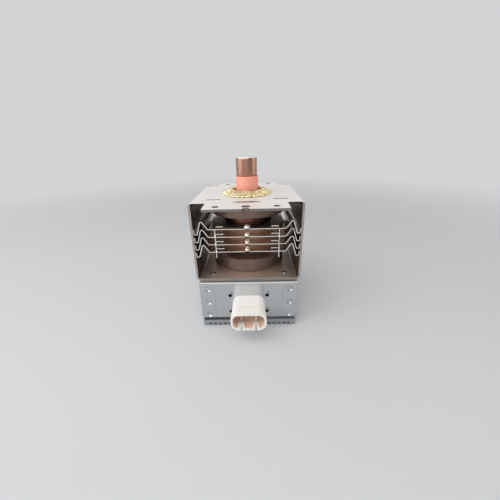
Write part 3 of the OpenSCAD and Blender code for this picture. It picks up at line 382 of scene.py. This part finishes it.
# Dark rims round the two front slits and the long slot are painted shade.
slit_x, slit_y, slit_half_l, slit_half_w = 24.4, -23.5, 5.2, 0.9
slit_painted_shade = abs(abs(plate_zinc.x) - slit_x).ease(slit_half_l + 0.4, slit_half_l)
slit_painted_shade = slit_painted_shade * abs(plate_zinc.y - slit_y).ease(slit_half_w + 0.35, slit_half_w)
slot_y, slot_half_l, slot_half_w = -33.0, 11.0, 1.7
slot_along = plate_zinc.x * (1.0 / slot_half_l)
slot_across = (plate_zinc.y - slot_y) * (1.0 / slot_half_w)
slot_painted_shade = (slot_along * slot_along + slot_across * slot_across).ease(1.0, 0.75)
plate_skin = (slit_painted_shade * 0.8 + slot_painted_shade * 0.8).blend(plate_zinc.skin, rgb(0.22, 0.20, 0.19))
# Cut edges are painted nearly black as shade, and grey on the tongues as painted light, lighter on the back
# tongue.
tongue_root, tongue_behind = 36.0, 40.0
plate_cut = plate_zinc.facing("Z").ease(0.5, 0.3)
tongue_cut = plate_cut * abs(plate_zinc.y).ease(tongue_root, tongue_root + 1.0)
painted_light_behind = plate_zinc.y.ease(tongue_root, tongue_behind)
tongue_edge_painted_light = painted_light_behind.blend(rgb(0.26, 0.235, 0.22), rgb(0.60, 0.57, 0.55))
plate_skin = tongue_cut.blend(plate_cut.blend(plate_skin, rgb(0.07, 0.06, 0.055)), tongue_edge_painted_light)
plate_zinc.coat(colour=plate_skin, shine=0.55 + plate_cut * 0.45, rough=0.42, cut=tongue_cut)
plate_zinc.put_on(nodes["yoke_plate"])


# Gasket: knitted brass wire rolled into a soft ring that rises to a rim round the ceramic. It lies on
# the plate and is squeezed against the waveguide. The core below the wires is their packed inner layers.
def surface(name, *grids, around=False, along=False):
    """Mesh over grids of points [row, column, xyz], joined end to end around columns or along rows."""
    points, faces, count = [], [], 0
    for grid in grids:
        rows, columns = grid.shape[:2]
        place = np.arange(rows * columns).reshape(rows, columns) + count
        right = np.roll(place, -1, 1)
        quads = np.stack([place, right, np.roll(right, -1, 0), np.roll(place, -1, 0)], -1)
        quads = quads[: rows if along else rows - 1, : columns if around else columns - 1]
        points.append(grid.reshape(-1, 3))
        faces.append(quads.reshape(-1, 4))
        count += rows * columns
    mesh = bpy.data.meshes.new(name)
    mesh.from_pydata(np.concatenate(points).tolist(), [], np.concatenate(faces).tolist())
    welded = bmesh.new()
    welded.from_mesh(mesh)
    bmesh.ops.remove_doubles(welded, verts=welded.verts, dist=1e-7)
    welded.to_mesh(mesh)
    welded.free()
    mesh.polygons.foreach_set("use_smooth", np.ones(len(mesh.polygons), bool))
    piece = bpy.data.objects.new(name, mesh)
    bpy.context.scene.collection.objects.link(piece)
    return piece


def round_angles(steps):
    """Angles at equal steps once round."""
    return np.linspace(0, 2 * np.pi, steps, endpoint=False)


def turned(profile, angle):
    """Points of a turned surface: each (radius, height) of the profile carried round the axis."""
    radius, height = profile[:, :1], np.repeat(profile[:, 1:], len(angle), 1)
    return np.stack([radius * np.cos(angle), radius * np.sin(angle), height], -1)


def closed_wire(path, radius, sides):
    """Round wire along a closed path: rings of points across the path's tangent, level with the axis."""
    ahead = np.roll(path, -1, 0) - np.roll(path, 1, 0)
    ahead /= np.linalg.norm(ahead, axis=1, keepdims=True)
    side = np.cross(ahead, np.stack([-path[:, 1], path[:, 0], 0 * path[:, 2]], -1))
    side /= np.linalg.norm(side, axis=1, keepdims=True)
    turn = round_angles(sides)[None, :, None]
    across = np.cross(ahead, side)
    return path[:, None] + radius * (np.cos(turn) * side[:, None] + np.sin(turn) * across[:, None])


brass = Finish("gasket_brass", Metallic=0.8)
brass_cloud = brass.noise(1.5, 2.0).ease(0.46, 0.58)
brass.feed("Base Color", brass_cloud.blend(rgb(1.0, 0.96, 0.71), rgb(0.60, 0.43, 0.15)))
brass.feed("Roughness", 0.24 + brass_cloud * 0.15)

packing = Finish("gasket_packing", Metallic=1.0)
loops = packing.paint.node("TexVoronoi", {"feature": "DISTANCE_TO_EDGE"}, Vector=packing.place, Scale=1.2)
packing.feed("Base Color", loops.ease(0.03, 0.3).blend(rgb(0.95, 0.80, 0.45), rgb(0.52, 0.38, 0.15)))
packing.feed("Roughness", 0.42 + loops * 0.2)
packing.bump(1.0 - loops, 0.3)

gasket_low, gasket_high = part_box("rf_gasket")
gasket_foot, gasket_reach = gasket_low[2], gasket_high[0]
rim_height = gasket_high[2] - gasket_foot
gasket_bore = 0.0118
# Section of the ring: up the bore, over the rim, down the slope to the edge and back along the plate.
rim_line = np.array([[0.0, -0.0008], [0.0003, -0.0002], [0.0008, 0.0], [0.0014, 0.0], [0.0024, -0.0004]])
edge_line = np.array([[-0.0007, 0.0010], [-0.0001, 0.0006], [-0.0001, 0.0]])
section = np.concatenate([
    [[gasket_bore, 0.0]], rim_line + [gasket_bore, rim_height], edge_line + [gasket_reach, 0.0]])
core_inset = np.array([0.10, 0.16])
core_section = section + (section.mean(0) - section) * core_inset
core_section[:, 1] += gasket_foot
core_angles = round_angles(96)
core = surface("gasket_core", turned(core_section[::-1], core_angles), around=True, along=True)
packing.put_on(core)
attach(core, "root")
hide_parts("rf_gasket")

strand_count = 6
fewest_turns = 41
steps_a_turn, stitches_a_turn = 20, 3
strand_start, strand_lag = 0.13, 0.017
stitch_swing = 0.03
wire_radius, wire_sides = 0.0002, 5
press = 0.96
ring = np.concatenate([section, section[:1]])
ring_length = np.concatenate([[0.0], np.cumsum(np.linalg.norm(np.diff(ring, axis=0), axis=1))])
strands = []
for strand in range(strand_count):
    # Each strand winds round the section while its stitches swing to and fro along the ring.
    turns = fewest_turns + strand % 3
    hand = 1 if strand % 2 else -1
    t = round_angles(turns * steps_a_turn)
    wound = turns * t / (2 * np.pi) + strand * strand_start
    along_section = (hand * wound % 1.0) * ring_length[-1]
    swing = t + stitch_swing * np.sin(2 * np.pi * stitches_a_turn * wound + strand) + strand * strand_lag
    reach = np.interp(along_section, ring_length, ring[:, 0])
    height = gasket_foot + wire_radius + np.interp(along_section, ring_length, ring[:, 1]) * press
    path = np.stack([reach * np.cos(swing), reach * np.sin(swing), height], -1)
    strands.append(closed_wire(path, wire_radius, wire_sides))
knit = surface("gasket_knit", *strands, around=True, along=True)
brass.put_on(knit)
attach(knit, "root")


# Output ceramic: a fired salmon-pink alumina ring, ground at its ends and brazed to the seal below and
# to the exhaust tube's flange above. The surface is matte with a slight grain.
salmon = Finish("salmon_alumina", IOR=1.7)
blush = salmon.noise(5.0, 3.0)
fine = salmon.noise(0.35, 3.0)
salmon.feed("Base Color", blush.blend(rgb(1.0, 0.44, 0.31), rgb(0.97, 0.37, 0.25)))
salmon.feed("Roughness", 0.50 + fine * 0.2)
salmon.bump(fine, 0.02)
salmon.put_on(nodes["output_ceramic"])


# Antenna cap: a drawn steel cup pushed over the exhaust tube and nipped on at a few points of its rim.
# Its side keeps the upright marks of drawing, and its flat top is painted bright as a painted reflection.
drawn_steel = Finish("drawn_steel", Metallic=1.0)
draw_marks = drawn_steel.noise(0.5, 2.0, (1.0, 1.0, 30.0))
heat = drawn_steel.noise(6.0, 3.0)
crown_z = corners("antenna_cap")[1][2]
# The flat top is painted bright: a painted reflection.
crown_painted_reflection = drawn_steel.z.ease(crown_z - 1.0, crown_z - 0.2)
side_tint = heat.blend(rgb(0.53, 0.295, 0.215), rgb(0.39, 0.195, 0.137))
drawn_steel.feed("Base Color", crown_painted_reflection.blend(side_tint, rgb(0.90, 0.85, 0.81)))
drawn_steel.feed("Roughness", 0.21 + draw_marks * 0.10 + heat * 0.06)
drawn_steel.bump(draw_marks, 0.015)

cap_low, cap_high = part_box("antenna_cap")
cap_radius = cap_high[0]
cap_foot, cap_top = cap_low[2], cap_high[2]
cap_sheet = 0.0005
cap_edge = 0.0012
flat_radius, flat_inner = cap_radius - cap_edge, 0.003
# Profile of the cup: inside from the middle down to the rim, up the outside, round the edge, to the middle.
wall_steps, bend_steps = 14, 8
wall = np.linspace(cap_foot, cap_top - cap_edge, wall_steps)
bend = np.linspace(0, np.pi / 2, bend_steps)
cup = np.concatenate([
    [[0.0, cap_top - cap_sheet], [flat_radius, cap_top - cap_sheet]],
    [[cap_radius - cap_sheet, cap_top - cap_edge], [cap_radius - cap_sheet, cap_foot]],
    np.stack([np.full(wall_steps, cap_radius), wall], -1),
    np.stack([flat_radius + cap_edge * np.cos(bend), cap_top - cap_edge + cap_edge * np.sin(bend)], -1),
    [[flat_inner, cap_top], [0.0, cap_top]]])

# Nips: dents that fall off as a bell curve round the cap and up from its rim.
nip_angles = np.radians([250, 292, 20, 130, 190])
nip_depth, nip_spread = 0.0003, 0.14
nip_height, nip_rise = 0.0008, 0.0009
cap_angles = round_angles(96)
away = np.angle(np.exp(1j * (cap_angles[:, None] - nip_angles)))
nip = np.exp(-((away / nip_spread) ** 2)).sum(1)
fade = np.exp(-(((cup[:, 1] - cap_foot - nip_height) / nip_rise) ** 2)) * (cup[:, 0] > cap_radius / 2)
shell = turned(cup, cap_angles)
shell[:, :, :2] *= (1 - nip_depth / cap_radius * fade[:, None] * nip)[:, :, None]
cap = surface("antenna_cup", shell, around=True)
drawn_steel.put_on(cap)
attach(cap, "root")
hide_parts("antenna_cap")


# Studio: a pale paper sweep that fades to white away from the object and is dimmer in front in mirror
# images, a large soft lamp above, a strip lamp on each side, one over the front, a low flat one that
# shines between the fins, and a grey surround.
paper = Finish("studio_paper", Roughness=0.9)
paper_tone = paper.noise(300.0, 1.0)
paper.feed("Base Color", paper_tone.blend(rgb(0.64, 0.65, 0.66), rgb(0.62, 0.63, 0.64)))
mirrored = paper.paint.node("LightPath", output="Is Glossy Ray")
mirrored = mirrored + paper.paint.node("LightPath", output="Is Transmission Ray")
dim_front_y, bright_back_y = -700.0, 300.0
shaded_front = 0.25 + 0.75 * paper.y.ease(dim_front_y, bright_back_y)
seen = paper.paint.node("LightPath", output="Is Camera Ray") + mirrored * shaded_front
fade_from, fade_full = 130.0, 900.0
far = paper.length(paper.place).ease(fade_from, fade_full)
white = paper.paint.node("Emission", Color=rgb(0.98, 0.99, 1.0), Strength=0.66)
paper_tree = paper.material.node_tree
lit = Value(paper_tree, paper.shader.outputs[0])
sweep = paper.paint.node("MixShader", _0=seen * far, _1=lit, _2=white)
paper_tree.links.new(sweep.socket, paper_tree.nodes["Material Output"].inputs["Surface"])

floor_lines = np.linspace(-3.0, 3.0, 81)
floor_flat, floor_rise = 1.2, 0.9
floor_x, floor_y = np.meshgrid(floor_lines, floor_lines)
floor_z = np.clip(np.hypot(floor_x, floor_y) - floor_flat, 0, None) ** 2 * floor_rise
floor = surface("studio_floor", np.stack([floor_x, floor_y, floor_z], -1))
paper.put_on(floor)

lamp_target = Vector((0.0, 0.0, 0.06))


def soft_lamp(name, place, width, height, watts):
    """Flat lamp of a width and height at a place, turned towards the object."""
    lamp = bpy.data.lights.new(name, "AREA")
    lamp.shape = "RECTANGLE"
    lamp.size = width
    lamp.size_y = height
    lamp.energy = watts
    stand = bpy.data.objects.new(name, lamp)
    stand.location = place
    stand.rotation_euler = (lamp_target - Vector(place)).to_track_quat("-Z", "Y").to_euler()
    bpy.context.scene.collection.objects.link(stand)


soft_lamp("lamp_above", (-0.15, 0.05, 1.1), 1.8, 1.8, 7.4)
soft_lamp("lamp_left", (-0.75, -0.20, 0.35), 0.7, 1.0, 3.0)
soft_lamp("lamp_right", (0.75, -0.05, 0.35), 0.5, 0.9, 1.3)
soft_lamp("lamp_front", (-0.10, -0.32, 0.66), 0.8, 0.4, 1.5)
soft_lamp("lamp_low", (-0.22, -0.64, 0.27), 1.1, 0.2, 1.6)

surround = bpy.data.worlds.new("studio_surround")
surround.use_nodes = True
surround_light = surround.node_tree.nodes["Background"]
surround_light.inputs["Color"].default_value = rgb(1.0, 1.0, 1.0)
surround_light.inputs["Strength"].default_value = 0.2
bpy.context.scene.world = surround
bpy.context.scene.view_settings.view_transform = "Standard"


# Camera: a close, wide view from in front and above, tilted and rolled a little as in the photograph.
# Its place, angles and focal length come from a fit of the part's main sizes to the photograph.
camera_place = Vector((0.00454, -0.19531, 0.13435))
camera_pitch = math.radians(24.26)
camera_yaw = math.radians(-1.01)
camera_roll = math.radians(-1.45)
picture_pixels = 500
focal_pixels = 238.8
forward = Vector((
    math.sin(camera_yaw) * math.cos(camera_pitch), math.cos(camera_yaw) * math.cos(camera_pitch),
    -math.sin(camera_pitch)))
level = Vector((math.cos(camera_yaw), -math.sin(camera_yaw), 0.0))
upright = level.cross(forward)
right = math.cos(camera_roll) * level + math.sin(camera_roll) * upright
up = math.cos(camera_roll) * upright - math.sin(camera_roll) * level
view = bpy.data.cameras.new("photo_view")
view.sensor_width = 36.0
view.lens = view.sensor_width * focal_pixels / picture_pixels
view.clip_start = 0.005
camera = bpy.data.objects.new("photo_view", view)
camera.matrix_world = Matrix((right, up, -forward)).transposed().to_4x4()
camera.location = camera_place
bpy.context.scene.collection.objects.link(camera)
bpy.context.scene.camera = camera
